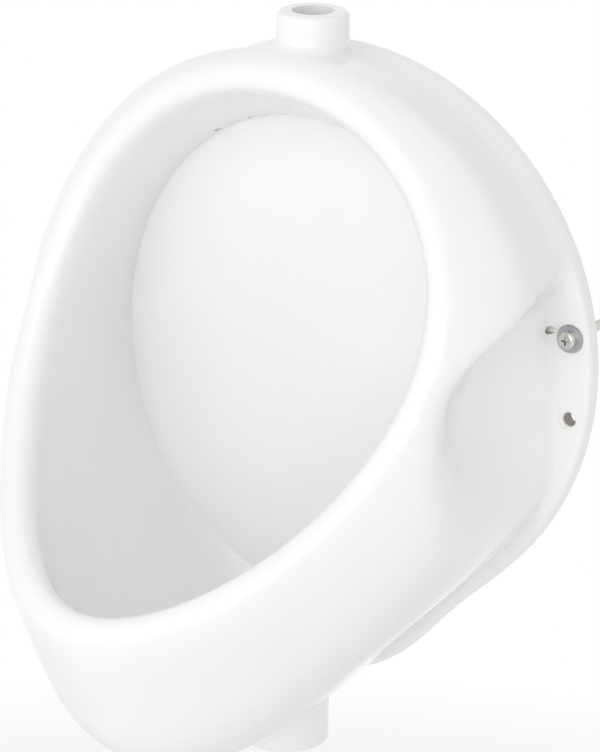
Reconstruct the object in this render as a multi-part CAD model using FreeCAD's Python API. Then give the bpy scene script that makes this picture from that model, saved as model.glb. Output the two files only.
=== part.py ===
import FreeCAD, Part
import math
import os

Vec = FreeCAD.Vector

# Every size is in millimetres. The wall plane is y = 0 and the bowl stands out toward -Y.
# The origin lies on the wall, on the centre line, level with the lower pair of fixing holes.

# Wall flange
FLANGE_THICK = 11.0
FLANGE_EDGE_ROUND = 2.4
FLANGE_BACK_ROUND = 1.2
FLANGE_FRONT_SWELL = 1.0
OUTLINE_CENTRE_Z = -87.0
OUTLINE_RADIUS = 172.2
OUTLINE_EGG = 94.0
OUTLINE_OVAL = 30.6
OUTLINE_SHOULDER = -5.3
OUTLINE_LEAN = 0.35
CROWN_INSET = 2.0
VALLEY_INSET = 9.0
CROWN_Z = 80.5
CROWN_BLEND = 18.0

# Outside of the bowl
SHOULDER_BULGE = 17.5
SIDE_BULGE = 40.7
SIDE_BULGE_FALL = 10.2
CHIN_BULGE = 56.0
BELLY_SAG = 36.0
CHIN_WAIST = 7.0
FLANK_ROOT_OUT = 22.0
VALLEY_ROOT_OUT = 11.8
FLANK_LEAD = 0.42
CHIN_LEAD = 0.28
SHOULDER_LEAD = 0.10

# Rolled rim
RIM_ROLL_R = 10.5
RIM_HALF_WIDTH = 136.5
RIM_TOP_FULLNESS = 13.5
RIM_MID_DEPTH = 156.7
RIM_REACH = 91.3
RIM_SAG = 17.9
RIM_MID_Z = 46.8
RIM_HALF_HEIGHT = 139.0
RIM_DROP = 10.7
RIM_TILT = math.radians(13)
RIM_TILT_GAIN = math.radians(61)
ROLL_WRAP = math.radians(36)
ROLL_WRAP_GAIN = math.radians(47)

# Back panel of the bowl
PANEL_OUT = 38.0
PANEL_CENTRE_Z = 11.0
PANEL_WIDER = 0.9
PANEL_TALLER = 14.5
PANEL_HALF_WIDTH = RIM_HALF_WIDTH + PANEL_WIDER
PANEL_HALF_HEIGHT = RIM_HALF_HEIGHT + PANEL_TALLER

# Hollow in each flank that clears the fixing screws
SCOOP_WALL = 1.5
SCOOP_HALF_WIDTH = PANEL_HALF_WIDTH + SCOOP_WALL
SCOOP_DEEPEST_OUT = 92.0
SCOOP_BACK_LENGTH = 80.0
SCOOP_BACK_RISE = 18.5
SCOOP_FRONT_LENGTH = 36.0
SCOOP_FRONT_RISE = 9.0
SCOOP_SOFT = 8.0
SCOOP_MID_Z = 21.0
SCOOP_FALL = 0.1
SCOOP_HALF_HEIGHT = 68.0
SCOOP_REACH = 136.0
SCOOP_EDGE = 8.0
SCOOP_EDGE_GAIN = 4.0
SCOOP_EDGE_TURN = 3.0

# Leads that shape the inside of the bowl between rim and back panel
BOWL_LEAD = 0.30
BOWL_ARRIVAL = 0.31
LIP_TURN_DOWN = 0.94
LIP_FLATTENING = 0.65

# China wall and the hollow behind it
WALL_THICK = 11.0
PANEL_THICK = 12.0
PANEL_GROWTH = 1.06
SHELL_PLUG_SHARE = 0.77

# Horns for the flush pipe and the waste
INLET_OUT = 39.0
INLET_RISE = 24.8
INLET_ROOT_DEPTH = 13.0
INLET_HORN_R = 21.6
INLET_BORE_R = 12.7
INLET_DRAFT = 0.8
INLET_BOSS_R = 20.5
INLET_BOSS_DEEP = 60.0
OUTLET_OUT = 61.0
OUTLET_DROP = 31.0
OUTLET_ROOT_DEPTH = 14.6
OUTLET_HORN_R = 27.4
OUTLET_SPIGOT = 24.0
OUTLET_DRAFT = 1.0
OUTLET_BORE_R = 17.0
OUTLET_BOSS_R = 29.0
OUTLET_BOSS_HIGH = 76.0
HORN_ROOT_FILLET = 6.0
HORN_LIP_ROUND = 3.0

# Flush channel cast in the crown
CHANNEL_R = 7.0
CHANNEL_WALL = 6.0
CHANNEL_SWEEP = math.radians(38)
JET_R = 2.8
JET_TURNS = (0.10, 0.30, 0.50)

# Strainer well
WELL_R = 20.8
WELL_DEPTH = 23.6
WELL_REACH = 53.0

# Fixing holes and fixings
HOLE_EDGE = 13.87
HOLE_SPAN_Z = 51.0
HOLE_R = 4.25
HOLE_MOUTH = 2.0
SPOT_FACE_R = 8.8
SPOT_FACE_OUT = 10.8
VENT_R = 2.6
VENT_OUT = 14.5
VENT_Z = 54.5
VENT_LONG = 40.0
CUSHION_THICK = 1.5
CUSHION_R = 7.0
WASHER_THICK = 1.6
WASHER_R = 8.2
WASHER_BORE_R = 3.3
SCREW_R = 2.6
THREAD_R = 3.0
THREAD_START = 2.0
SCREW_TIP = 42.0
SCREW_POINT = 5.0
SCREW_HEAD_R = 5.4
SCREW_HEAD_HIGH = 4.0
SCREW_HEAD_ROUND = 1.9
SCREW_POINT_R = 0.4
RECESS_LONG = 5.4
RECESS_WIDE = 1.1
RECESS_DEEP = 2.2

# Lift-out strainer and its ring
RING_THICK = 2.0
RING_R = 20.4
RING_BORE_R = 17.6
GRATE_R = 20.2
GRATE_THICK = 1.6
GRATE_EDGE_ROUND = 0.7
GRATE_COLLAR_R = 16.4
GRATE_COLLAR_THICK = 1.3
GRATE_COLLAR_DEEP = 9.0
DOME_BASE_R = 15.0
DOME_HIGH = 9.0
DOME_THICK = 1.5
SLOT_COUNT = 8
SLOT_WIDE = 2.6
SLOT_LONG = 7.5
SLOT_START = 4.5
GRATE_EYE_R = 1.6

RING_POINTS = 120
RING_DENSER = 0.4
FLANK_STEPS = 16
ROLL_STEPS = 5
BOWL_STEPS = 8

# Length by which a cutting tool runs past the face it opens
OVERRUN = 5.0


def outline_point(turn, inset):
    """Point of the wall outline, turn 0 at the top; inset moves it toward the middle."""
    lean = turn - OUTLINE_LEAN * math.sin(turn)
    radius = OUTLINE_RADIUS + OUTLINE_EGG * math.cos(lean)
    radius = radius + OUTLINE_OVAL * math.cos(2 * lean) + OUTLINE_SHOULDER * math.cos(3 * lean)
    x = radius * math.sin(lean)
    z = OUTLINE_CENTRE_Z + radius * math.cos(lean)
    reach = math.hypot(x, z - PANEL_CENTRE_Z)
    shrink = (reach - inset) / reach
    return x * shrink, PANEL_CENTRE_Z + (z - PANEL_CENTRE_Z) * shrink


# Levels and widths that follow the wall outline
OUTLINE_TOP_Z = outline_point(0.0, 0.0)[1]
OUTLINE_LOW_Z = outline_point(math.pi, 0.0)[1]
OUTLINE_HALF_WIDTH = max(outline_point(math.radians(degree), 0.0)[0] for degree in range(180))
INLET_ROOT_Z = OUTLINE_TOP_Z - INLET_ROOT_DEPTH
INLET_TOP_Z = OUTLINE_TOP_Z + INLET_RISE
OUTLET_ROOT_Z = OUTLINE_LOW_Z + OUTLET_ROOT_DEPTH
OUTLET_END_Z = OUTLINE_LOW_Z - OUTLET_DROP
WELL_FLOOR_Z = OUTLINE_LOW_Z + WELL_DEPTH
HOLE_X = OUTLINE_HALF_WIDTH - HOLE_EDGE


def rim_crest(turn):
    """Foremost line of the rolled rim."""
    x = RIM_HALF_WIDTH * math.sin(turn) + RIM_TOP_FULLNESS * math.sin(2 * turn)
    y = -(RIM_MID_DEPTH - RIM_REACH * math.cos(turn) + RIM_SAG * math.cos(2 * turn))
    z = RIM_MID_Z + RIM_HALF_HEIGHT * math.cos(turn) + RIM_DROP * math.cos(2 * turn)
    return Vec(x, y, z)


def rim_axes(turn):
    """Forward and outward directions square to the rim line."""
    step = 0.01
    along = (rim_crest(turn + step) - rim_crest(turn - step)).normalize()
    low = (1 - math.cos(turn)) / 2
    tilt = RIM_TILT + RIM_TILT_GAIN * low
    forward = Vec(0, -math.cos(tilt), math.sin(tilt))
    forward = (forward - along * forward.dot(along)).normalize()
    outward = forward.cross(along).normalize()
    return forward, outward


def panel_point(turn):
    """Crease where the side of the bowl meets its flat back panel."""
    x = PANEL_HALF_WIDTH * math.sin(turn)
    return Vec(x, -PANEL_OUT, PANEL_CENTRE_Z + PANEL_HALF_HEIGHT * math.cos(turn))


def scooped(point, margin):
    """Pulls a flank point inward where the screw hollow lies, deeper and wider by the margin."""
    rise = (point.z - SCOOP_MID_Z - SCOOP_FALL * point.y) / (SCOOP_HALF_HEIGHT + margin)
    run = point.y / (SCOOP_REACH + margin)
    edge = SCOOP_EDGE + SCOOP_EDGE_GAIN * math.tanh(SCOOP_EDGE_TURN * rise)
    fade = math.exp(-math.hypot(rise, run) ** edge)
    back = point.y + SCOOP_DEEPEST_OUT
    if back > 0:
        climb = SCOOP_BACK_RISE * (back / SCOOP_BACK_LENGTH) ** 2
    else:
        climb = SCOOP_FRONT_RISE * (back / SCOOP_FRONT_LENGTH) ** 2
    over = abs(point.x) - (SCOOP_HALF_WIDTH - margin + climb)
    excess = (over + math.hypot(over, SCOOP_SOFT)) / 2 * fade
    return Vec(point.x - math.copysign(excess, point.x), point.y, point.z)


def bezier(start, lead_out, lead_in, end, share):
    """Point on the cubic from start to end."""
    back = 1 - share
    point = start * back ** 3 + lead_out * (3 * back * back * share)
    return point + lead_in * (3 * back * share * share) + end * share ** 3


def roll_point(turn, angle):
    """Point on the round of the rim; 0 is its crest, positive angles go over to the outside."""
    forward, outward = rim_axes(turn)
    core = rim_crest(turn) - forward * RIM_ROLL_R
    return core + (forward * math.cos(angle) + outward * math.sin(angle)) * RIM_ROLL_R


def roll_outer_angle(turn):
    """The roll wraps further round at the lip than at the crown."""
    return ROLL_WRAP + ROLL_WRAP_GAIN * ((1 - math.cos(turn)) / 2) ** 3


def roll_outer_edge(turn):
    """Where the rim roll runs out into the shoulder, and the direction it leaves in."""
    forward, outward = rim_axes(turn)
    angle = roll_outer_angle(turn)
    return roll_point(turn, angle), outward * math.cos(angle) - forward * math.sin(angle)


def below_crown(z):
    """0 at the crown of the bowl, rising to 1 beside and below the screw hollows."""
    return 0.5 - 0.5 * math.tanh((z - CROWN_Z) / CROWN_BLEND)


def flank_root(turn):
    """Where the shell rises out of the flange; it stands back in a valley low down."""
    low = below_crown(outline_point(turn, 0.0)[1])
    x, z = outline_point(turn, CROWN_INSET + (VALLEY_INSET - CROWN_INSET) * low)
    return Vec(x, -FLANK_ROOT_OUT * (1 - low) - VALLEY_ROOT_OUT * low, z)


def shell_point(turn, share):
    """Point of the full flank, from the flange at share 0 to the rim roll at share 1."""
    root = flank_root(turn)
    edge, leave = roll_outer_edge(turn)
    span = (edge - root).Length
    low = ((1 - math.cos(turn)) / 2) ** 3
    lead_out = root + Vec(0, -span * (FLANK_LEAD + CHIN_LEAD * low), -BELLY_SAG * low)
    side = SIDE_BULGE - SIDE_BULGE_FALL * math.cos(turn)
    swell = SHOULDER_BULGE + side * math.sin(turn) ** 2 + CHIN_BULGE * low * low
    lead_in = edge + leave * (swell + span * SHOULDER_LEAD)
    forward, outward = rim_axes(turn)
    angle = roll_outer_angle(turn)
    facing = forward * math.cos(angle) + outward * math.sin(angle)
    waist = CHIN_WAIST * low * math.sin(math.pi * share ** 3) ** 2
    return bezier(root, lead_out, lead_in, edge, share) - facing * waist


def flank_profile(turn):
    """Outside of the china from the wall to the rim roll, as a row of points."""
    x, z = outline_point(turn, FLANGE_BACK_ROUND)
    row = [Vec(x, 0, z)]
    for depth in (FLANGE_BACK_ROUND, FLANGE_THICK / 2, FLANGE_THICK - FLANGE_EDGE_ROUND):
        x, z = outline_point(turn, 0.0)
        row.append(Vec(x, -depth, z))
    low = below_crown(z)
    x, z = outline_point(turn, FLANGE_EDGE_ROUND * (0.25 + 0.75 * low))
    front_edge = Vec(x, -FLANGE_THICK - FLANGE_FRONT_SWELL * (1 - 0.8 * low), z)
    corner = scooped(flank_root(turn), 0.0)
    row.append(front_edge)
    for share in (0.3, 0.62, 0.9):
        row.append(front_edge * (1 - share) + corner * share)
    for step in range(1, FLANK_STEPS):
        row.append(scooped(shell_point(turn, step / FLANK_STEPS), 0.0))
    return row


def roll_profile(turn):
    """Round roll of the rim from its outside to its inside."""
    start = roll_outer_angle(turn)
    finish = math.radians(-90)
    return [roll_point(turn, start + (finish - start) * step / ROLL_STEPS) for step in range(ROLL_STEPS + 1)]


def bowl_profile(turn):
    """Inside of the bowl from the rim roll back to the panel crease."""
    edge = roll_point(turn, math.radians(-90))
    forward = rim_axes(turn)[0]
    crease = panel_point(turn)
    span = (edge - crease).Length
    low = ((1 - math.cos(turn)) / 2) ** 3
    lead_out = edge - forward * span * BOWL_LEAD
    arrive = Vec(0, LIP_FLATTENING * low - 1, -LIP_TURN_DOWN * low)
    lead_in = crease + arrive * span * BOWL_ARRIVAL
    return [bezier(edge, lead_out, lead_in, crease, step / BOWL_STEPS) for step in range(1, BOWL_STEPS + 1)]


def skin(rows):
    """Smooth closed skin through equal rows of points, one row for each turn."""
    count = len(rows)
    stations = len(rows[0])
    around = [float(k) for k in range(count + 1)]
    along = [0.0]
    for s in range(1, stations):
        total = sum((rows[k][s] - rows[k][s - 1]).Length for k in range(count))
        along.append(along[-1] + (total / count) ** 0.7)
    rings = []
    for s in range(stations):
        ring = Part.BSplineCurve()
        ring.interpolate(Points=[row[s] for row in rows], PeriodicFlag=True, Parameters=around)
        rings.append(ring)
    columns = []
    for k in range(len(rings[0].getPoles())):
        column = Part.BSplineCurve()
        column.interpolate(Points=[ring.getPoles()[k] for ring in rings], Parameters=along)
        columns.append(column)
    surface = Part.BSplineSurface()
    surface.buildFromPolesMultsKnots(
        [column.getPoles() for column in columns],
        rings[0].getMultiplicities(),
        columns[0].getMultiplicities(),
        rings[0].getKnots(),
        columns[0].getKnots(),
        True,
        False,
        3,
        3,
    )
    side = surface.toShape()
    first = Part.Face(Part.Wire([surface.vIso(along[0]).toShape()]))
    last = Part.Face(Part.Wire([surface.vIso(along[-1]).toShape()]))
    shell = Part.Shell([side, first, last])
    shell.sewShape()
    solid = Part.Solid(Part.Shell(shell.Faces))
    if solid.Volume < 0:
        solid.reverse()
    return solid


def turns():
    """Turns of all the rows, closer together beside the screw hollows than at crown and chin."""
    even = [2 * math.pi * k / RING_POINTS + math.pi / 4 for k in range(RING_POINTS)]
    return [turn + RING_DENSER * math.sin(2 * turn) / 2 for turn in even]


def offset_rows(rows, gap):
    """Moves a grid of points inward from its surface by the gap."""
    count = len(rows)
    moved = []
    for k in range(count):
        line = []
        for s in range(len(rows[k])):
            around = rows[(k + 1) % count][s] - rows[k - 1][s]
            along = rows[k][min(s + 1, len(rows[k]) - 1)] - rows[k][max(s - 1, 0)]
            line.append(rows[k][s] + around.cross(along).normalize() * gap)
        moved.append(line)
    return moved


def bar(radius, start, end):
    """Round bar between two points."""
    return Part.makeCylinder(radius, (end - start).Length, start, end - start)


def shell_block():
    """Whole outside of the china with the bowl already open in it."""
    return skin([flank_profile(t) + roll_profile(t) + bowl_profile(t) for t in turns()])


def hollow_outside():
    """Flank moved in by the wall thickness, closed off inside the bowl."""
    shares = (0.0, 0.12, 0.25, 0.38, 0.5, 0.62, 0.74)
    plug_r = PANEL_HALF_WIDTH / 2
    plug_y = SHELL_PLUG_SHARE * -RIM_MID_DEPTH
    shell = offset_rows([[shell_point(t, share) for share in shares] for t in turns()], WALL_THICK)
    rows = []
    for k, t in enumerate(turns()):
        line = [scooped(point, WALL_THICK) for point in shell[k]]
        first = line[0]
        plug = [Vec(plug_r * math.sin(t), y, plug_r * math.cos(t) + RIM_MID_Z) for y in (plug_y, plug_y - 2)]
        rows.append([Vec(first.x, 2.0, first.z), Vec(first.x, -5.0, first.z)] + line + plug)
    return skin(rows)


def bowl_outside():
    """Bowl grown by the wall thickness, running on past the rim."""
    inside = offset_rows([bowl_profile(t) for t in turns()], WALL_THICK)
    far_r = 2 * RIM_HALF_WIDTH
    far_y = -2 * (RIM_MID_DEPTH + RIM_SAG)
    rows = []
    for k, t in enumerate(turns()):
        line = inside[k][::-1]
        crease = panel_point(t)
        back_z = PANEL_CENTRE_Z + (crease.z - PANEL_CENTRE_Z) * PANEL_GROWTH
        back = Vec(crease.x * PANEL_GROWTH, PANEL_THICK - PANEL_OUT, back_z)
        ahead = [Vec(far_r * math.sin(t), y, far_r * math.cos(t) + RIM_MID_Z) for y in (far_y, far_y - 10)]
        rows.append([back, back + Vec(0, -4, 0)] + line[1:] + ahead)
    return skin(rows)


def channel_point(turn):
    """Middle of the china between the rim, the panel and the wall outline."""
    x, z = outline_point(turn, 0.0)
    return (rim_crest(turn) + panel_point(turn) + Vec(x, 0, z)) * (1 / 3.0)


def channel(radius):
    """Curved tube round the crown of the bowl."""
    path = Part.BSplineCurve()
    path.interpolate([channel_point(CHANNEL_SWEEP * step / 6.0) for step in range(-6, 7)])
    start = path.value(path.FirstParameter)
    along = path.tangent(path.FirstParameter)[0]
    ring = Part.Wire([Part.makeCircle(radius, start, along)])
    tube = Part.Wire([path.toShape()]).makePipeShell([ring], True, False)
    finish = path.value(path.LastParameter)
    return tube.fuse(Part.makeSphere(radius, start)).fuse(Part.makeSphere(radius, finish))


def round_mouth(horn, end_z):
    """Rounds the open end of a horn before it is bored."""
    mouth = [edge for edge in horn.Edges if edge.BoundBox.ZLength < 0.01 and abs(edge.BoundBox.ZMax - end_z) < 0.01]
    return horn.makeFillet(HORN_LIP_ROUND, mouth)


def inlet_axis(z):
    return Vec(0, -INLET_OUT, z)


def outlet_axis(z):
    return Vec(0, -OUTLET_OUT, z)


def hole_places():
    """Fixing hole centres on the wall plane."""
    return [Vec(side * HOLE_X, 0, row * HOLE_SPAN_Z) for side in (-1, 1) for row in (0, 1)]


def hole_cutter(place):
    """Straight hole whose front mouth is softly rounded."""
    inner = place + Vec(HOLE_R, HOLE_MOUTH - SPOT_FACE_OUT, 0)
    outer = place + Vec(HOLE_R + HOLE_MOUTH, -SPOT_FACE_OUT, 0)
    middle = inner + Vec(HOLE_MOUTH * (1 - math.sqrt(0.5)), -HOLE_MOUTH * math.sqrt(0.5), 0)
    back = place + Vec(0, OVERRUN, 0)
    front = place + Vec(0, -SPOT_FACE_OUT - OVERRUN, 0)
    section = [
        Part.makeLine(back, back + Vec(HOLE_R, 0, 0)),
        Part.makeLine(back + Vec(HOLE_R, 0, 0), inner),
        Part.Arc(inner, middle, outer).toShape(),
        Part.makeLine(outer, front + Vec(HOLE_R + HOLE_MOUTH, 0, 0)),
        Part.makeLine(front + Vec(HOLE_R + HOLE_MOUTH, 0, 0), front),
        Part.makeLine(front, back),
    ]
    return Part.Face(Part.Wire(section)).revolve(place, Vec(0, 1, 0), 360)


def join_horns(block):
    """Adds both horns and softens the corners where they leave the china."""
    inlet_root = inlet_axis(INLET_ROOT_Z)
    inlet = Part.makeCone(INLET_HORN_R + INLET_DRAFT, INLET_HORN_R, INLET_TOP_Z - INLET_ROOT_Z, inlet_root)
    outlet_root = outlet_axis(OUTLET_ROOT_Z)
    spigot_top = outlet_axis(OUTLET_END_Z + OUTLET_SPIGOT)
    neck = (outlet_root - spigot_top).Length
    outlet = Part.makeCone(OUTLET_HORN_R, OUTLET_HORN_R + OUTLET_DRAFT, neck, spigot_top)
    outlet = outlet.fuse(bar(OUTLET_HORN_R, spigot_top, outlet_axis(OUTLET_END_Z)))
    for horn, radius, root in (
        (round_mouth(inlet, INLET_TOP_Z), INLET_HORN_R, inlet_root),
        (round_mouth(outlet, OUTLET_END_Z), OUTLET_HORN_R, outlet_root),
    ):
        block = block.fuse(horn)
        corner = []
        for edge in block.Edges:
            spots = edge.discretize(9)
            reach = [math.hypot(p.x - root.x, p.y - root.y) for p in spots]
            level = [p.z for p in spots]
            near = max(reach) < radius + 1.5 * OUTLET_DRAFT and min(reach) > radius - OUTLET_DRAFT / 2
            slanting = max(level) - min(level) > OUTLET_DRAFT / 5
            if near and slanting and edge.Length > radius:
                corner.append(edge)
        block = block.makeFillet(HORN_ROOT_FILLET, corner)
    return block


def hollow_back():
    """Open hollow behind the bowl, less the china kept round the water ways."""
    hollow = hollow_outside().cut(bowl_outside())
    kept = [
        bar(INLET_BOSS_R, inlet_axis(OUTLINE_TOP_Z - INLET_BOSS_DEEP), inlet_axis(INLET_TOP_Z)),
        channel(CHANNEL_R + CHANNEL_WALL),
        bar(OUTLET_BOSS_R, outlet_axis(OUTLINE_LOW_Z + OUTLET_BOSS_HIGH), outlet_axis(OUTLET_END_Z)),
    ]
    return hollow.cut(kept)


def water_ways():
    """Bores, flush channel, jets and the well under the strainer."""
    taper = INLET_BORE_R - CHANNEL_R
    foot = inlet_axis(channel_point(0).z)
    tools = [
        Part.makeCone(CHANNEL_R, INLET_BORE_R, taper, foot),
        bar(INLET_BORE_R, foot + Vec(0, 0, taper), inlet_axis(INLET_TOP_Z + OVERRUN)),
        bar(OUTLET_BORE_R, outlet_axis(OUTLET_END_Z - OVERRUN), outlet_axis(WELL_FLOOR_Z + OVERRUN)),
        bar(WELL_R, outlet_axis(WELL_FLOOR_Z), outlet_axis(WELL_FLOOR_Z + WELL_REACH)),
        channel(CHANNEL_R),
    ]
    for turn in JET_TURNS:
        for side in (-1, 1):
            start = channel_point(side * turn)
            finish = bowl_profile(side * turn)[BOWL_STEPS - 2]
            aim = (finish - start).normalize()
            tools.append(bar(JET_R, start, finish + aim * (OVERRUN + JET_R)))
    return tools


def bowl_body():
    """The one fired piece of china."""
    china = join_horns(shell_block()).cut(hollow_back()).cut(water_ways())
    cutters = [hole_cutter(place) for place in hole_places()]
    for side in (-1, 1):
        seat = screw_place(side) + Vec(0, -SPOT_FACE_OUT, 0)
        cutters.append(bar(SPOT_FACE_R, seat, seat + Vec(0, -OVERRUN, 0)))
        vent = Vec(side * (HOLE_X - SPOT_FACE_R), -VENT_OUT, VENT_Z)
        cutters.append(bar(VENT_R, vent, vent - Vec(side * VENT_LONG, 0, 0)))
    return china.cut(cutters)


def screw_place(side):
    return Vec(side * HOLE_X, 0, HOLE_SPAN_Z)


def disc_with_hole(place, radius, bore, thick, direction):
    return Part.makeCylinder(radius, thick, place, direction).cut(Part.makeCylinder(bore, thick, place, direction))


def cushion_washer(side):
    seat = screw_place(side) + Vec(0, -SPOT_FACE_OUT, 0)
    return disc_with_hole(seat, CUSHION_R, WASHER_BORE_R, CUSHION_THICK, Vec(0, -1, 0))


def steel_washer(side):
    seat = screw_place(side) + Vec(0, -SPOT_FACE_OUT - CUSHION_THICK, 0)
    washer = disc_with_hole(seat, WASHER_R, WASHER_BORE_R, WASHER_THICK, Vec(0, -1, 0))
    front = [edge for edge in washer.Edges if edge.Length > 50 and edge.BoundBox.YMin < seat.y - WASHER_THICK / 2]
    return washer.makeChamfer(0.3, front)


def fixing_screw(side):
    """Pan head screw standing through the flange into the wall."""
    place = screw_place(side)
    under = -SPOT_FACE_OUT - CUSHION_THICK - WASHER_THICK
    head = Part.makeCylinder(SCREW_HEAD_R, SCREW_HEAD_HIGH, place + Vec(0, under, 0), Vec(0, -1, 0))
    brow = [edge for edge in head.Edges if edge.BoundBox.YMax < place.y + under - SCREW_HEAD_HIGH / 2]
    head = head.makeFillet(SCREW_HEAD_ROUND, brow)
    shank = bar(SCREW_R, place + Vec(0, under - SCREW_HEAD_HIGH / 4, 0), place + Vec(0, THREAD_START * 1.5, 0))
    thread = bar(THREAD_R, place + Vec(0, THREAD_START, 0), place + Vec(0, SCREW_TIP - SCREW_POINT, 0))
    point = Part.makeCone(THREAD_R, SCREW_POINT_R, SCREW_POINT, place + Vec(0, SCREW_TIP - SCREW_POINT, 0), Vec(0, 1, 0))
    floor = place + Vec(0, under - SCREW_HEAD_HIGH + RECESS_DEEP, 0)
    blades = []
    for wide, high in ((RECESS_LONG, RECESS_WIDE), (RECESS_WIDE, RECESS_LONG)):
        blades.append(Part.makeBox(wide, OVERRUN, high, floor + Vec(-wide / 2, -OVERRUN, -high / 2)))
    return head.fuse([shank, thread, point]).cut(blades)


def strainer_ring():
    return disc_with_hole(outlet_axis(WELL_FLOOR_Z), RING_R, RING_BORE_R, RING_THICK, Vec(0, 0, 1))


def outlet_strainer():
    """Domed grate with a flat rim and a short collar that finds the bore."""
    rest = WELL_FLOOR_Z + RING_THICK
    top = rest + GRATE_THICK
    plate = bar(GRATE_R, outlet_axis(rest), outlet_axis(top))
    rim = [edge for edge in plate.Edges if edge.BoundBox.ZMin > top - 0.01 and edge.Length > 50]
    plate = plate.makeFillet(GRATE_EDGE_ROUND, rim)
    ball_r = (DOME_BASE_R ** 2 + DOME_HIGH ** 2) / (2 * DOME_HIGH)
    ball_z = top + DOME_HIGH - ball_r
    cap = Part.makeSphere(ball_r, outlet_axis(ball_z))
    cap = cap.common(bar(DOME_BASE_R + 1, outlet_axis(rest), outlet_axis(top + DOME_HIGH + 1)))
    inside = Part.makeSphere(ball_r - DOME_THICK, outlet_axis(ball_z))
    collar = disc_with_hole(
        outlet_axis(rest), GRATE_COLLAR_R, GRATE_COLLAR_R - GRATE_COLLAR_THICK, GRATE_COLLAR_DEEP, Vec(0, 0, -1)
    )
    bottom = bar(GRATE_COLLAR_R - GRATE_COLLAR_THICK, outlet_axis(rest - 1), outlet_axis(top))
    grate = plate.fuse([cap, collar]).cut(inside.common(bar(DOME_BASE_R, outlet_axis(rest - 1), outlet_axis(top + DOME_HIGH))))
    grate = grate.cut(bottom.common(inside))
    slots = []
    for step in range(SLOT_COUNT):
        corner = outlet_axis(rest - OVERRUN) + Vec(SLOT_START, -SLOT_WIDE / 2, 0)
        slot = Part.makeBox(SLOT_LONG, SLOT_WIDE, DOME_HIGH + 2 * OVERRUN, corner)
        slot.rotate(outlet_axis(0), Vec(0, 0, 1), 360.0 * step / SLOT_COUNT)
        slots.append(slot)
    slots.append(bar(GRATE_EYE_R, outlet_axis(rest), outlet_axis(top + DOME_HIGH + OVERRUN)))
    return grate.cut(slots)


def export(shape, name):
    solid = shape.Solids[0]
    solid.exportStep("parts/" + name + ".step")


os.makedirs("parts", exist_ok=True)
export(bowl_body(), "bowl_body")
export(strainer_ring(), "strainer_ring")
export(outlet_strainer(), "outlet_strainer")
for side, name in ((-1, "left"), (1, "right")):
    export(cushion_washer(side), "cushion_washer_" + name)
    export(steel_washer(side), "steel_washer_" + name)
    export(fixing_screw(side), "fixing_screw_" + name)
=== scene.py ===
import math

import bmesh
import bpy
from mathutils import Matrix, Vector


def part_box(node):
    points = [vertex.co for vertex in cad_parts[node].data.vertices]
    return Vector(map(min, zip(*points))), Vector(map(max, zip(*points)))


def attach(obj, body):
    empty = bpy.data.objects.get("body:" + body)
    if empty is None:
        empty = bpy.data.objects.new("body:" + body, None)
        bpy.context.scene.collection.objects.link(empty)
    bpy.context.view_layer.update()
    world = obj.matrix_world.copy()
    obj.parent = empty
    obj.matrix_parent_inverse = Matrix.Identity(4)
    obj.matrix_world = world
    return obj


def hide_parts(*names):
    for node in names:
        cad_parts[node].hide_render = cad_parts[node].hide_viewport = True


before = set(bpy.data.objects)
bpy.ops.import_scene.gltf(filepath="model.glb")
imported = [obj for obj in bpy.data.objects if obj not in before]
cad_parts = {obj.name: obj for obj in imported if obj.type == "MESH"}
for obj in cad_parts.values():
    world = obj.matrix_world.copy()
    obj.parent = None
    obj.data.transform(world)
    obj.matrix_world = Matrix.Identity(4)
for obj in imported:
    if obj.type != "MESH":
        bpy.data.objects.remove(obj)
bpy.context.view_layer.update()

MM = 0.001


# ---------------------------------------------------------------------------
# The bowl. One casting of vitreous china, slip cast in a plaster mould, sprayed
# with white glaze and fired. The rim of its back, which stood on the kiln shelf
# and lies on the wall, is ground bare; the hollow behind got only thin overspray.
# ---------------------------------------------------------------------------

def linear(hex_colour):
    """sRGB hex value as the linear colour that a shader socket takes."""
    channels = [int(hex_colour[i:i + 2], 16) / 255 for i in (1, 3, 5)]
    return [c / 12.92 if c <= 0.04045 else ((c + 0.055) / 1.055) ** 2.4 for c in channels] + [1.0]


def add_node(tree, kind, settings=None, **links):
    """Adds one shader node; settings holds properties and socket values, links joins its sockets."""
    node = tree.nodes.new(kind)
    for key, value in (settings or {}).items():
        if key in node.inputs:
            node.inputs[key].default_value = value
        else:
            setattr(node, key, value)
    for socket, source in links.items():
        tree.links.new(source, node.inputs[socket.replace("_", " ")])
    return node


def new_finish(name, **surface):
    """A material with one Principled surface, its constant values set on the sockets."""
    finish = bpy.data.materials.new(name)
    finish.use_nodes = True
    tree = finish.node_tree
    shader = tree.nodes["Principled BSDF"]
    for socket, value in surface.items():
        shader.inputs[socket.replace("_", " ")].default_value = value
    return finish, tree, shader


def tint_between(tree, factor, dark, light):
    """Blends two hex colours by a factor and gives the blend's output."""
    ramp = add_node(tree, "ShaderNodeValToRGB", Fac=factor)
    ramp.color_ramp.elements[0].color = linear(dark)
    ramp.color_ramp.elements[1].color = linear(light)
    return ramp.outputs["Color"]


def spread_between(tree, factor, low, high):
    """Maps a 0 to 1 pattern onto a narrow range of values."""
    spread = add_node(tree, "ShaderNodeMapRange", {"To Min": low, "To Max": high}, Value=factor)
    return spread.outputs["Result"]


def emboss(tree, shader, pattern, height, strength=1.0):
    """Gives a surface the fine relief of a 0 to 1 pattern, of the given height."""
    relief = add_node(tree, "ShaderNodeBump", {"Distance": height, "Strength": strength}, Height=pattern)
    tree.links.new(relief.outputs["Normal"], shader.inputs["Normal"])


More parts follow.
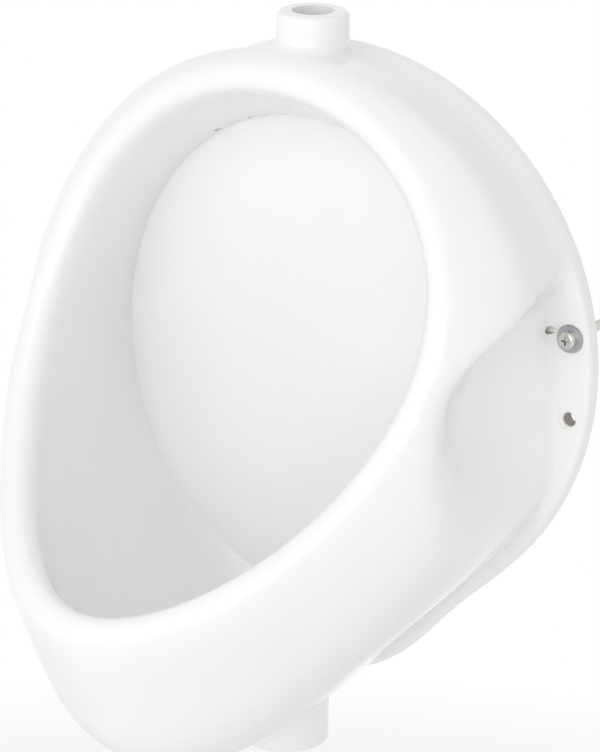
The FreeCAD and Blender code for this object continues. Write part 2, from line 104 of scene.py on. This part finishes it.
def glazed_vitreous_china():
    """White tin-opacified glaze: wet gloss over a dense white body, with a slow ripple where it ran."""
    finish, tree, shader = new_finish("glazed_vitreous_china", IOR=1.52)
    place = add_node(tree, "ShaderNodeTexCoord").outputs["Object"]
    # the glaze pools and thins over about 60 mm, which shifts its white a little
    pooling = add_node(tree, "ShaderNodeTexNoise", {"Scale": 1 / 0.060, "Detail": 1.0}, Vector=place)
    colour = tint_between(tree, pooling.outputs["Fac"], "#F4F4F4", "#F8F8F8")
    tree.links.new(colour, shader.inputs["Base Color"])
    # faint wipe marks, about 15 mm, dull the gloss here and there
    wiped = add_node(tree, "ShaderNodeTexNoise", {"Scale": 1 / 0.015, "Detail": 3.0}, Vector=place)
    tree.links.new(spread_between(tree, wiped.outputs["Fac"], 0.06, 0.11), shader.inputs["Roughness"])
    # the ripple of a fired glaze is 30 to 40 mm long and a few hundredths of a millimetre high
    ripple = add_node(tree, "ShaderNodeTexNoise", {"Scale": 1 / 0.035, "Detail": 1.0}, Vector=place)
    emboss(tree, shader, ripple.outputs["Fac"], 0.05 * MM)
    return finish


def bare_ground_china():
    """Fired body with no glaze: matt, cream, and slightly gritty from the grinding."""
    finish, tree, shader = new_finish("bare_ground_china", Roughness=0.82, IOR=1.5)
    place = add_node(tree, "ShaderNodeTexCoord").outputs["Object"]
    # grog specks are under 1 mm; drawn at 1.5 mm so that they show
    grog = add_node(tree, "ShaderNodeTexNoise", {"Scale": 1 / 0.0015, "Detail": 4.0}, Vector=place)
    colour = tint_between(tree, grog.outputs["Fac"], "#D9D2C2", "#EAE5D8")
    tree.links.new(colour, shader.inputs["Base Color"])
    emboss(tree, shader, grog.outputs["Fac"], 0.08 * MM)
    return finish


def unglazed_bore_painted_shade():
    """Inside of a punched hole, which the glaze misses: quite rough, and painted grey as the shade that
    falls inside the hole.
    """
    finish, tree, shader = new_finish("unglazed_bore_painted_shade", Roughness=0.9, IOR=1.5)
    place = add_node(tree, "ShaderNodeTexCoord").outputs["Object"]
    # the painted shade is broken into streaks of about 2 mm
    painted_shade_streaks = add_node(tree, "ShaderNodeTexNoise", {"Scale": 1 / 0.002, "Detail": 3.0}, Vector=place)
    colour = tint_between(tree, painted_shade_streaks.outputs["Fac"], "#ACA7A0", "#CAC6BF")
    # this grey is painted shade, not a colour of the fired body
    tree.links.new(colour, shader.inputs["Base Color"])
    return finish


GROUND_EDGE = -0.05 * MM      # whatever lies this close to the wall plane was ground flat
BORE_SLACK = 0.05 * MM        # how far a corner of the mesh may lie from its true bore
HOLE_R = 4.25 * MM            # holes for the fixing screws
HOLE_DEEP = 9.0 * MM          # from the wall plane forward, past the flange
HOLE_ROWS = (0.0, 51.0 * MM)  # heights of the lower and the upper pair
VENT_R = 2.6 * MM             # small hole beside each upper fixing, into the hollow behind
VENT_OUT = 14.5 * MM          # its axis, ahead of the wall plane
VENT_UP = 54.5 * MM
VENT_SPAN = (110.0 * MM, 158.0 * MM)


def inside_bore(point, hole_x):
    """True for a point on the wall of a fixing hole or of a vent."""
    beside = abs(point.x) - hole_x
    punched = any(abs(math.hypot(beside, point.z - row) - HOLE_R) < BORE_SLACK for row in HOLE_ROWS)
    vented = abs(math.hypot(point.y + VENT_OUT, point.z - VENT_UP) - VENT_R) < BORE_SLACK
    along_vent = VENT_SPAN[0] < abs(point.x) < VENT_SPAN[1]
    return (punched and point.y > -HOLE_DEEP) or (vented and along_vent)


low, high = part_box("fixing_screw_right")
hole_x = (low.x + high.x) / 2
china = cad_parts["bowl_body"]
china.data.materials.clear()
for finish in (glazed_vitreous_china(), bare_ground_china(), unglazed_bore_painted_shade()):
    china.data.materials.append(finish)
GLAZED, GROUND, BORED = range(3)
for face in china.data.polygons:
    corners = [china.data.vertices[v].co for v in face.vertices]
    face.material_index = GLAZED
    if all(corner.y > GROUND_EDGE for corner in corners):
        face.material_index = GROUND
    # the walls of the holes and vents take the grey of painted shade
    elif all(inside_bore(corner, hole_x) for corner in corners):
        face.material_index = BORED


# ---------------------------------------------------------------------------
# The seal ring under the strainer. Moulded black EPDM rubber, dropped into the
# well of the bowl; its soft face keeps the steel off the glaze.
# ---------------------------------------------------------------------------

def moulded_black_rubber():
    """EPDM from a steel mould: deep grey, dull, with a fine even grain."""
    finish, tree, shader = new_finish("moulded_black_rubber", Roughness=0.55, IOR=1.5)
    place = add_node(tree, "ShaderNodeTexCoord").outputs["Object"]
    # the grain of the mould's steel is about 0.8 mm
    grain = add_node(tree, "ShaderNodeTexNoise", {"Scale": 1 / 0.0008, "Detail": 2.0}, Vector=place)
    colour = tint_between(tree, grain.outputs["Fac"], "#161616", "#242423")
    tree.links.new(colour, shader.inputs["Base Color"])
    emboss(tree, shader, grain.outputs["Fac"], 0.03 * MM, 0.8)
    return finish


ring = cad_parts["strainer_ring"]
ring.data.materials.clear()
ring.data.materials.append(moulded_black_rubber())


# ---------------------------------------------------------------------------
# The strainer. Spun and pressed stainless steel: a domed grate with eight slots,
# a flat rim and a collar that finds the outlet. It lies loose and lifts out.
# ---------------------------------------------------------------------------

def spun_stainless_steel(centre):
    """Stainless steel polished on a lathe: fine rings round its own axis stretch the highlights."""
    finish, tree, shader = new_finish("spun_stainless_steel", Metallic=1.0)
    place = add_node(tree, "ShaderNodeTexCoord").outputs["Object"]
    centred = add_node(tree, "ShaderNodeVectorMath", {"operation": "SUBTRACT"}, Vector=place)
    centred.inputs[1].default_value = centre
    # the polishing rings are about 0.2 mm apart; drawn at 0.8 mm so that they show
    rings = add_node(
        tree,
        "ShaderNodeTexWave",
        {"wave_type": "RINGS", "rings_direction": "Z", "Scale": 0.314 / 0.0008, "Distortion": 0.4},
        Vector=centred.outputs["Vector"],
    )
    colour = tint_between(tree, rings.outputs["Fac"], "#BFC1C2", "#D6D7D7")
    tree.links.new(colour, shader.inputs["Base Color"])
    tree.links.new(spread_between(tree, rings.outputs["Fac"], 0.18, 0.30), shader.inputs["Roughness"])
    emboss(tree, shader, rings.outputs["Fac"], 0.01 * MM, 0.6)
    return finish


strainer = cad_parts["outlet_strainer"]
low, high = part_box("outlet_strainer")
strainer.data.materials.clear()
strainer.data.materials.append(spun_stainless_steel((low + high) / 2))


# ---------------------------------------------------------------------------
# The cushion washers. Two thin discs of natural nylon between steel and china,
# which spread the pull of each screw so that it doesn't crack the flange.
# ---------------------------------------------------------------------------

def natural_nylon():
    """Unfilled nylon, injection moulded: milky, waxy, and a little see-through at the edge."""
    finish, tree, shader = new_finish("natural_nylon", IOR=1.53, Subsurface_Weight=0.15)
    shader.inputs["Subsurface Radius"].default_value = (1.5 * MM, 1.4 * MM, 1.2 * MM)
    shader.inputs["Subsurface Scale"].default_value = 1.0
    place = add_node(tree, "ShaderNodeTexCoord").outputs["Object"]
    # flow marks from the mould's gate are about 4 mm
    flow = add_node(tree, "ShaderNodeTexNoise", {"Scale": 1 / 0.004, "Detail": 2.0}, Vector=place)
    colour = tint_between(tree, flow.outputs["Fac"], "#DEDBD0", "#E8E6DD")
    tree.links.new(colour, shader.inputs["Base Color"])
    tree.links.new(spread_between(tree, flow.outputs["Fac"], 0.36, 0.46), shader.inputs["Roughness"])
    return finish


nylon = natural_nylon()
for side in ("left", "right"):
    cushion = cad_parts["cushion_washer_" + side]
    cushion.data.materials.clear()
    cushion.data.materials.append(nylon)


# ---------------------------------------------------------------------------
# The steel washers. Punched from strip, tumbled to break the edges, then zinc
# plated and passivated; each lies on its cushion washer under the screw head.
# ---------------------------------------------------------------------------

def zinc_plated_steel():
    """Bright zinc with a clear passivate: a cool grey metal, softly mottled, with tumbling marks."""
    finish, tree, shader = new_finish("zinc_plated_steel", Metallic=1.0)
    place = add_node(tree, "ShaderNodeTexCoord").outputs["Object"]
    # the passivate mottles the zinc every 3 mm or so
    mottle = add_node(tree, "ShaderNodeTexNoise", {"Scale": 1 / 0.003, "Detail": 4.0}, Vector=place)
    colour = tint_between(tree, mottle.outputs["Fac"], "#A6A9AC", "#C6C8CA")
    tree.links.new(colour, shader.inputs["Base Color"])
    tree.links.new(spread_between(tree, mottle.outputs["Fac"], 0.28, 0.45), shader.inputs["Roughness"])
    # tumbling dents are about 0.5 mm across
    dents = add_node(tree, "ShaderNodeTexVoronoi", {"Scale": 1 / 0.0005}, Vector=place)
    emboss(tree, shader, dents.outputs["Distance"], 0.01 * MM, 0.5)
    return finish


zinc = zinc_plated_steel()
for side in ("left", "right"):
    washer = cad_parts["steel_washer_" + side]
    washer.data.materials.clear()
    washer.data.materials.append(zinc)


# ---------------------------------------------------------------------------
# The fixing screws. Cold headed steel with a pan head and a cross recess, thread
# rolled for a wall plug, nickel plated. They stand out behind the flange.
# ---------------------------------------------------------------------------

HEAD_R = 5.4 * MM             # pan head, as the solid has it
HEAD_HIGH = 4.0 * MM
HEAD_ROUND = 1.9 * MM
HEAD_STEPS = 8                # bands of faces round the crown
EDGE_BREAK = 0.15 * MM        # under the rim of the head
ROOT_ROUND = 0.2 * MM         # where the shank meets the head
SHANK_R = 2.6 * MM
THREAD_START = 1.5 * MM       # behind the wall plane
THREAD_R = 3.0 * MM           # outside of the rolled thread
THREAD_ROOT_R = 2.15 * MM
THREAD_PITCH = 2.6 * MM
RIDGE_SHARE = 0.36            # half the ridge's width, as a share of the pitch
RUN_IN_TURNS = 1.5            # over which the ridge rises to its full height
POINT_LENGTH = 5.0 * MM
TIP_R = 0.05 * MM
RECESS_WIDE = 1.1 * MM
RECESS_LONG = 5.4 * MM
RECESS_DEEP = 2.2 * MM
RECESS_FLOOR_SHARE = 0.55     # the blades' length at the floor and at the mouth of the recess
RECESS_MOUTH_SHARE = 1.1
CUTTER_TALL = 3.0 * MM
TURN_STEPS = 48
LINE_STEP = 0.2 * MM
SHARP_FROM = math.radians(40)


def nickel_plated_steel():
    """Nickel over cold headed steel: a warm bright metal, smooth, with faint handling haze."""
    finish, tree, shader = new_finish("nickel_plated_steel", Metallic=1.0)
    place = add_node(tree, "ShaderNodeTexCoord").outputs["Object"]
    # smears from handling are about 2 mm
    haze = add_node(tree, "ShaderNodeTexNoise", {"Scale": 1 / 0.002, "Detail": 3.0}, Vector=place)
    colour = tint_between(tree, haze.outputs["Fac"], "#C9C8C4", "#DEDDDA")
    tree.links.new(colour, shader.inputs["Base Color"])
    tree.links.new(spread_between(tree, haze.outputs["Fac"], 0.14, 0.26), shader.inputs["Roughness"])
    return finish


def thread_radius(along, turn, start, finish):
    """Radius of the rolled thread at a length along the screw and a turn round it."""
    phase = (along / THREAD_PITCH - turn / (2 * math.pi)) % 1.0
    ridge = max(0.0, 1 - abs(phase - 0.5) / RIDGE_SHARE)
    run_in = min(max((along - start) / (RUN_IN_TURNS * THREAD_PITCH), 0.0), 1.0)
    radius = THREAD_ROOT_R + (THREAD_R - THREAD_ROOT_R) * ridge * run_in
    radius = radius + (SHANK_R - THREAD_ROOT_R) * max(0.0, 1 - (along - start) / THREAD_PITCH)
    point = min(max((finish - along) / POINT_LENGTH, 0.0), 1.0)
    return max(radius * point, TIP_R)


def head_outline(under):
    """Radius and depth of the pan head and plain shank, from the crown of the head inward."""
    outline = []
    centre_r = HEAD_R - HEAD_ROUND
    for step in range(HEAD_STEPS + 1):
        angle = math.pi / 2 * (1 - step / HEAD_STEPS)
        outline.append((
            centre_r + HEAD_ROUND * math.cos(angle),
            under - HEAD_HIGH + HEAD_ROUND * (1 - math.sin(angle)),
        ))
    outline.append((HEAD_R, under - EDGE_BREAK))
    outline.append((HEAD_R - EDGE_BREAK, under))
    outline.append((SHANK_R + ROOT_ROUND, under))
    outline.append((SHANK_R, under + ROOT_ROUND))
    return outline


def fixing_screw_mesh(name, centre_x, centre_z, under, start, finish):
    """The whole screw as one closed skin turned about its own axis, with the thread's ridge wound on."""
    rings = [[(r, y)] * TURN_STEPS for r, y in head_outline(under)]
    along = start
    while along < finish + LINE_STEP / 2:
        ring_radii = []
        for k in range(TURN_STEPS):
            ring_radii.append((thread_radius(along, 2 * math.pi * k / TURN_STEPS, start, finish), along))
        rings.append(ring_radii)
        along = along + LINE_STEP
    skin = bmesh.new()
    rows = []
    for ring_radii in rings:
        row = []
        for k, (radius, y) in enumerate(ring_radii):
            turn = 2 * math.pi * k / TURN_STEPS
            x = centre_x + radius * math.cos(turn)
            z = centre_z + radius * math.sin(turn)
            row.append(skin.verts.new((x, y, z)))
        rows.append(row)
    for near, far in zip(rows, rows[1:]):
        for k in range(TURN_STEPS):
            after = (k + 1) % TURN_STEPS
            skin.faces.new((near[k], near[after], far[after], far[k]))
    skin.faces.new(rows[0][::-1])
    skin.faces.new(rows[-1])
    bmesh.ops.recalc_face_normals(skin, faces=skin.faces)
    mesh = bpy.data.meshes.new(name)
    skin.to_mesh(mesh)
    skin.free()
    screw = bpy.data.objects.new(name, mesh)
    bpy.context.scene.collection.objects.link(screw)
    return screw


def cross_cutter(centre_x, centre_z, floor):
    """Two crossed blades whose ends slope in, as the point of a driver bit does."""
    cutter = bmesh.new()
    for wide, long in ((RECESS_LONG, RECESS_WIDE), (RECESS_WIDE, RECESS_LONG)):
        corners = []
        for depth, share in ((floor, RECESS_FLOOR_SHARE), (floor - CUTTER_TALL, RECESS_MOUTH_SHARE)):
            half_x = (wide * share if wide > long else wide) / 2
            half_z = (long * share if long > wide else long) / 2
            for x, z in ((-1, -1), (1, -1), (1, 1), (-1, 1)):
                corners.append(cutter.verts.new((centre_x + x * half_x, depth, centre_z + z * half_z)))
        cutter.faces.new(corners[3::-1])
        cutter.faces.new(corners[4:])
        for k in range(4):
            after = (k + 1) % 4
            cutter.faces.new((corners[k], corners[after], corners[after + 4], corners[k + 4]))
    bmesh.ops.recalc_face_normals(cutter, faces=cutter.faces)
    mesh = bpy.data.meshes.new("recess_cutter")
    cutter.to_mesh(mesh)
    cutter.free()
    tool = bpy.data.objects.new("recess_cutter", mesh)
    bpy.context.scene.collection.objects.link(tool)
    return tool


nickel = nickel_plated_steel()
for side in ("left", "right"):
    low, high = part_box("fixing_screw_" + side)
    centre_x, centre_z = (low.x + high.x) / 2, (low.z + high.z) / 2
    under = low.y + HEAD_HIGH
    screw = fixing_screw_mesh("threaded_screw_" + side, centre_x, centre_z, under, THREAD_START, high.y)
    tool = cross_cutter(centre_x, centre_z, low.y + RECESS_DEEP)
    cut = screw.modifiers.new("cross_recess", "BOOLEAN")
    cut.operation = "DIFFERENCE"
    cut.object = tool
    cut.use_self = True
    bpy.context.view_layer.update()
    cut_screw = screw.evaluated_get(bpy.context.evaluated_depsgraph_get())
    finished = bpy.data.meshes.new_from_object(cut_screw)
    screw.modifiers.clear()
    screw.data = finished
    bpy.data.objects.remove(tool)
    screw.data.materials.clear()
    screw.data.materials.append(nickel)
    screw.data.shade_smooth()
    screw.data.set_sharp_from_angle(angle=SHARP_FROM)
    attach(screw, "china")
    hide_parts("fixing_screw_" + side)


# ---------------------------------------------------------------------------
# The room. A pale floor well below the bowl, as under a bowl on its wall, and a
# white surround that the glaze mirrors.
# ---------------------------------------------------------------------------

FLOOR_DROP = 0.62             # from the middle of the bowl down to the floor, metres
FLOOR_R = 7.0
FLOOR_MIDDLE_Y = -0.1
FADE_FROM = 0.5               # past this distance the floor runs out into the white of the surround
FADE_TO = 1.0


def seen_by_eye_or_mirror(tree):
    """1 for rays of the camera and for those that glossy or clear surfaces send on, else 0."""
    rays = add_node(tree, "ShaderNodeLightPath")
    seen = rays.outputs["Is Camera Ray"]
    for kind in ("Is Glossy Ray", "Is Transmission Ray"):
        either = add_node(tree, "ShaderNodeMath", {"operation": "MAXIMUM"})
        tree.links.new(seen, either.inputs[0])
        tree.links.new(rays.outputs[kind], either.inputs[1])
        seen = either.outputs[0]
    return seen


def pale_floor():
    """Matt pale floor that runs out into white; only the eye and mirrored views see that white."""
    finish, tree, shader = new_finish("pale_floor_paint", Roughness=0.9)
    shader.inputs["Base Color"].default_value = linear("#F4F4F2")
    place = add_node(tree, "ShaderNodeTexCoord").outputs["Object"]
    reach = add_node(tree, "ShaderNodeVectorMath", {"operation": "LENGTH"}, Vector=place)
    fade = add_node(tree, "ShaderNodeMapRange", {"From Min": FADE_FROM, "From Max": FADE_TO})
    tree.links.new(reach.outputs["Value"], fade.inputs["Value"])
    share = add_node(tree, "ShaderNodeMath", {"operation": "MULTIPLY"})
    tree.links.new(seen_by_eye_or_mirror(tree), share.inputs[0])
    tree.links.new(fade.outputs["Result"], share.inputs[1])
    white = add_node(tree, "ShaderNodeEmission")
    mix = add_node(tree, "ShaderNodeMixShader", Fac=share.outputs[0])
    tree.links.new(shader.outputs[0], mix.inputs[1])
    tree.links.new(white.outputs[0], mix.inputs[2])
    tree.links.new(mix.outputs[0], tree.nodes["Material Output"].inputs["Surface"])
    return finish


floor_mesh = bmesh.new()
bmesh.ops.create_circle(floor_mesh, cap_ends=True, segments=96, radius=FLOOR_R)
floor_data = bpy.data.meshes.new("floor")
floor_mesh.to_mesh(floor_data)
floor_mesh.free()
floor = bpy.data.objects.new("floor", floor_data)
bpy.context.scene.collection.objects.link(floor)
floor.location = (0, FLOOR_MIDDLE_Y, -FLOOR_DROP)
floor.data.materials.append(pale_floor())


# ---------------------------------------------------------------------------
# The light. A bright even room and two large soft lamps: a key lamp ahead, above
# and to the left, and a front lamp to the right that opens up the bowl's left wall.
# ---------------------------------------------------------------------------

ROOM_STRENGTH = 0.75
LAMP_AIM = (0, -0.12, 0)      # the middle of the bowl


def bright_room():
    """White surround: full white to the eye and in mirrored views, dimmer as a light."""
    world = bpy.data.worlds.new("bright_room")
    bpy.context.scene.world = world
    world.use_nodes = True
    tree = world.node_tree
    tree.nodes.clear()
    lighting = add_node(tree, "ShaderNodeBackground", {"Strength": ROOM_STRENGTH})
    shown = add_node(tree, "ShaderNodeBackground", {"Strength": 1.0})
    for background in (lighting, shown):
        background.inputs["Color"].default_value = (1, 1, 1, 1)
    mix = add_node(tree, "ShaderNodeMixShader", Fac=seen_by_eye_or_mirror(tree))
    tree.links.new(lighting.outputs[0], mix.inputs[1])
    tree.links.new(shown.outputs[0], mix.inputs[2])
    end = add_node(tree, "ShaderNodeOutputWorld")
    tree.links.new(mix.outputs[0], end.inputs["Surface"])


def soft_lamp(name, place, aim, wide, watts):
    """Square soft lamp aimed at a point of the bowl."""
    lamp = bpy.data.lights.new(name, "AREA")
    lamp.size = wide
    lamp.energy = watts
    holder = bpy.data.objects.new(name, lamp)
    holder.location = place
    holder.rotation_euler = (Vector(aim) - Vector(place)).to_track_quat("-Z", "Y").to_euler()
    bpy.context.scene.collection.objects.link(holder)


bright_room()
soft_lamp("key_lamp", (-0.5, -2.3, 1.2), LAMP_AIM, wide=2.2, watts=11.5)
soft_lamp("front_lamp", (0.9, -2.3, 0.6), LAMP_AIM, wide=1.8, watts=11.5)


# ---------------------------------------------------------------------------
# The camera. It stands ahead, to the right and a little above, at the viewing
# angle of the photograph, with a long lens from about two metres.
# ---------------------------------------------------------------------------

CAMERA_AZIMUTH = math.radians(34.86)
CAMERA_ELEVATION = math.radians(19.19)
CAMERA_ROLL = math.radians(0.62)
CAMERA_AWAY = 2.1116          # metres from the point that it looks at
CAMERA_AIM = Vector((0.0279, -0.0886, 0.0203))
SENSOR_TALL = 36.0            # millimetres along the tall side of the picture
LENS = 170.1

backward = Vector((
    math.sin(CAMERA_AZIMUTH) * math.cos(CAMERA_ELEVATION),
    -math.cos(CAMERA_AZIMUTH) * math.cos(CAMERA_ELEVATION),
    math.sin(CAMERA_ELEVATION),
))
lens = bpy.data.cameras.new("photo_camera")
lens.sensor_fit = "VERTICAL"
lens.sensor_height = SENSOR_TALL
lens.lens = LENS
camera = bpy.data.objects.new("photo_camera", lens)
bpy.context.scene.collection.objects.link(camera)
turn = backward.to_track_quat("Z", "Y").to_matrix().to_4x4() @ Matrix.Rotation(CAMERA_ROLL, 4, "Z")
camera.matrix_world = Matrix.Translation(CAMERA_AIM + backward * CAMERA_AWAY) @ turn
bpy.context.scene.camera = camera
bpy.context.scene.view_settings.view_transform = "Standard"
